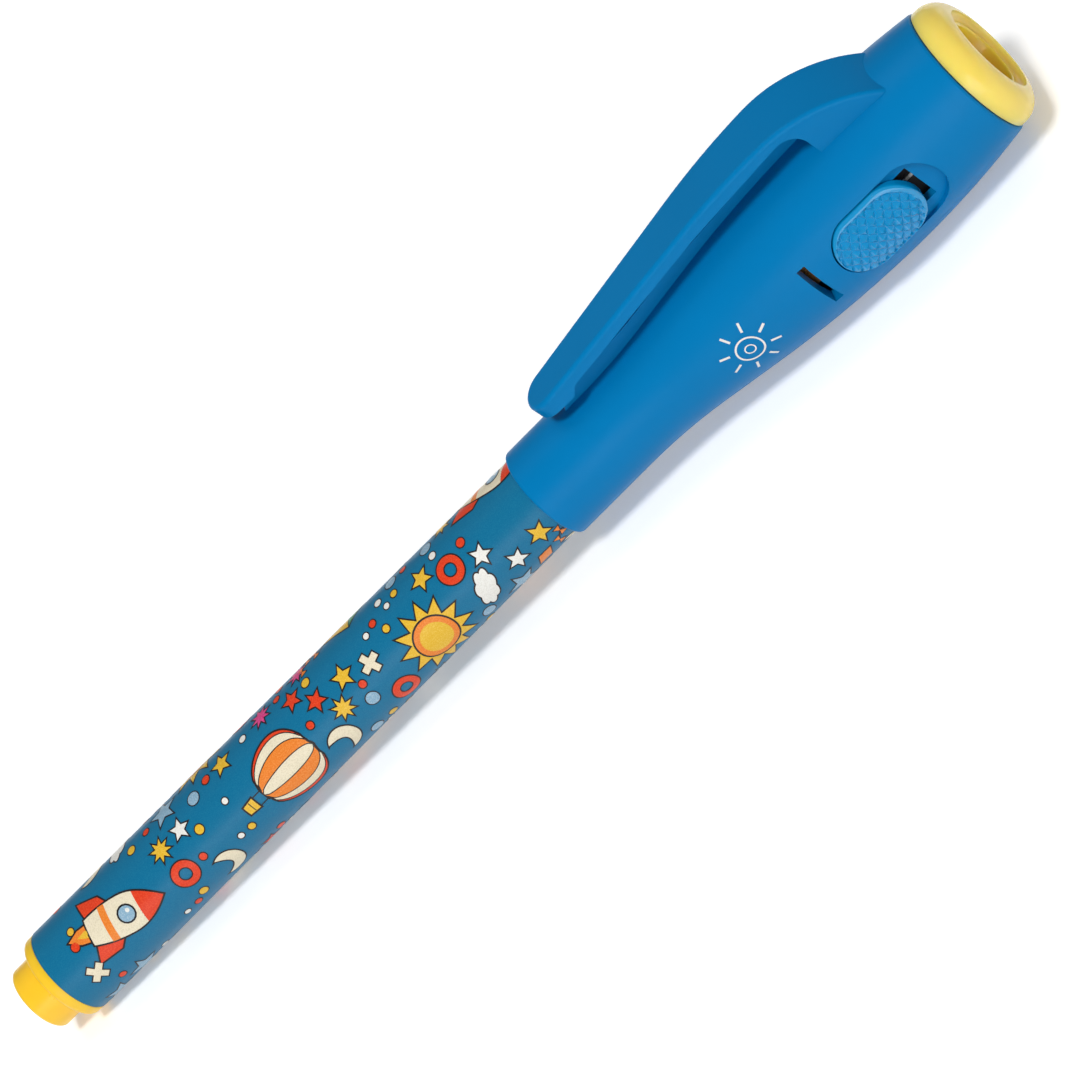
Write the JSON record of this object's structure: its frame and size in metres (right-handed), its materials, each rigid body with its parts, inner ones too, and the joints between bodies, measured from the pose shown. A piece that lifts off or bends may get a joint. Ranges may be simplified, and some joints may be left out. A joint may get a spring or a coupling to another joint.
{
  "type": "invisible ink pen with lamp cap",
  "caption": "Capped fibre-tip pen for invisible ink: slim tapered barrel, and a swelling cap with a clip, an ultraviolet lamp and its slide switch.",
  "frame": {"origin": "midway along the closed pen, on the level surface that the cap's widest part rests on, under the pen's axis", "axes": "+X along the pen from the tail plug to the lamp, +Z towards the clip, and the slide switch faces -Y"},
  "size_m": [0.14, 0.0178, 0.022],
  "materials": {
    "yellow_plastic": "moulded, satin",
    "barrel_plastic": "moulded, smooth",
    "printed_film": "printed film, satin gloss",
    "white_plastic": "moulded, smooth",
    "nib_fibre": "pressed fibre",
    "reservoir_fibre": "soft fibre",
    "clear_film": "clear film",
    "blue_plastic": "moulded, fine satin",
    "soft_white_plastic": "soft moulded",
    "pale_yellow_plastic": "moulded, glossy",
    "clear_epoxy": "clear, polished",
    "tinned_steel": "tinned",
    "black_plastic": "moulded, matt",
    "cell_steel": "nickel plated",
    "contact_bronze": "rolled strip"
  },
  "bodies": {
    "pen": {"tail_plug": "yellow_plastic", "barrel": "barrel_plastic", "printed_sleeve": "printed_film", "grip_section": "white_plastic", "nib": "nib_fibre", "ink_reservoir": "reservoir_fibre", "reservoir_film": "clear_film"},
    "cap": {"cap_shell": "blue_plastic", "inner_cap": "soft_white_plastic", "bezel_ring": "pale_yellow_plastic", "uv_led": "clear_epoxy", "led_anode_lead": "tinned_steel", "led_cathode_lead": "tinned_steel", "battery_carrier": "black_plastic", "button_cell_1": "cell_steel", "button_cell_2": "cell_steel", "button_cell_3": "cell_steel", "tail_contact": "contact_bronze"},
    "switch": {"switch_knob": "blue_plastic", "switch_contact": "contact_bronze"}
  },
  "joints": [
    {"name": "cap_pull", "type": "slide", "parent": "pen", "child": "cap", "axis": [1, 0, 0], "range_m": [0, 0.05]},
    {"name": "switch_slide", "type": "slide", "parent": "cap", "child": "switch", "axis": [1, 0, 0], "range_m": [0, 0.0028]}
  ]
}
